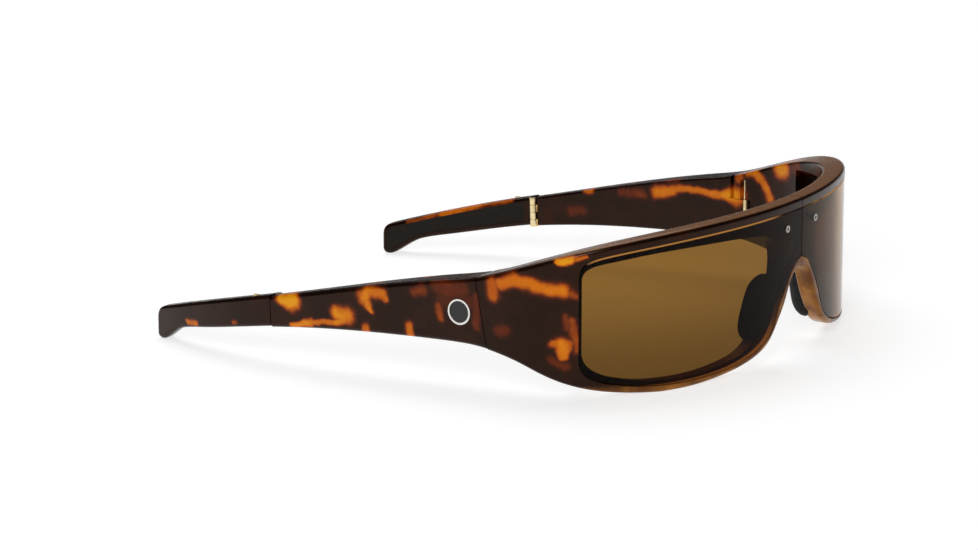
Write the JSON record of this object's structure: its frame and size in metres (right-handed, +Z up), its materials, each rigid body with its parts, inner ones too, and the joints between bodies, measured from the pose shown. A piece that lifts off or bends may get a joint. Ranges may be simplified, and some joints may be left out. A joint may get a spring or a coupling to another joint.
{
  "type": "folding wrap sunglasses",
  "caption": "Wrap-around sunglasses with a deep brow, a split front and arms that fold twice on brass pins, with soft nose and tip pads.",
  "frame": {"origin": "middle of the bounding box on the surface it rests on", "axes": "+Z up, -Y the way the wearer looks, +X the wearer's left; x = 0 is the mirror plane"},
  "size_m": [0.1424, 0.1724, 0.0429],
  "materials": {
    "frame": "satin moulded tortoiseshell nylon",
    "lens": "polished brown tinted polycarbonate",
    "pad_rubber": "matte black rubber",
    "tip_rubber": "matte dark grey rubber",
    "hinge_brass": "drawn brass",
    "screw_steel": "dark steel",
    "badge_metal": "satin metal inlay"
  },
  "bodies": {
    "right_front": {"right_front_frame": "frame", "right_lens": "lens", "right_nose_pad": "pad_rubber", "right_bridge_screw": "screw_steel", "right_temple_pin": "hinge_brass", "bridge_hinge_leaf_right": "hinge_brass", "bridge_hinge_pin": "hinge_brass"},
    "left_front": {"left_front_frame": "frame", "left_lens": "lens", "left_nose_pad": "pad_rubber", "left_bridge_screw": "screw_steel", "left_temple_pin": "hinge_brass", "bridge_hinge_leaf_left": "hinge_brass"},
    "left_temple": {"left_temple_arm": "frame", "left_temple_hinge_leaf": "hinge_brass", "left_arm_badge": "badge_metal", "left_arm_tip_leaf": "hinge_brass", "left_tip_hinge_pin": "hinge_brass"},
    "left_tip": {"left_temple_tip": "frame", "left_tip_hinge_leaf": "hinge_brass", "left_tip_pad": "tip_rubber"},
    "right_temple": {"right_temple_arm": "frame", "right_temple_hinge_leaf": "hinge_brass", "right_arm_badge": "badge_metal", "right_arm_tip_leaf": "hinge_brass", "right_tip_hinge_pin": "hinge_brass"},
    "right_tip": {"right_temple_tip": "frame", "right_tip_hinge_leaf": "hinge_brass", "right_tip_pad": "tip_rubber"}
  },
  "joints": [
    {"name": "bridge_fold", "type": "hinge", "parent": "right_front", "child": "left_front", "pos_m": [0, -0.08096, 0.03412], "axis": [0, -0.0462, 0.9989], "range_deg": [0, 20]},
    {"name": "right_temple_fold", "type": "hinge", "parent": "right_front", "child": "right_temple", "pos_m": [-0.0635, -0.03271, 0.01903], "axis": [0, 0.0462, -0.9989], "range_deg": [0, 90]},
    {"name": "left_temple_fold", "type": "hinge", "parent": "left_front", "child": "left_temple", "pos_m": [0.0635, -0.03271, 0.01903], "axis": [0, -0.0462, 0.9989], "range_deg": [0, 72]},
    {"name": "right_tip_fold", "type": "hinge", "parent": "right_temple", "child": "right_tip", "pos_m": [-0.064, 0.03897, 0.01464], "axis": [0, 0.0113, -0.9999], "range_deg": [0, 160]},
    {"name": "left_tip_fold", "type": "hinge", "parent": "left_temple", "child": "left_tip", "pos_m": [0.064, 0.03897, 0.01464], "axis": [0, -0.0113, 0.9999], "range_deg": [0, 160]}
  ]
}
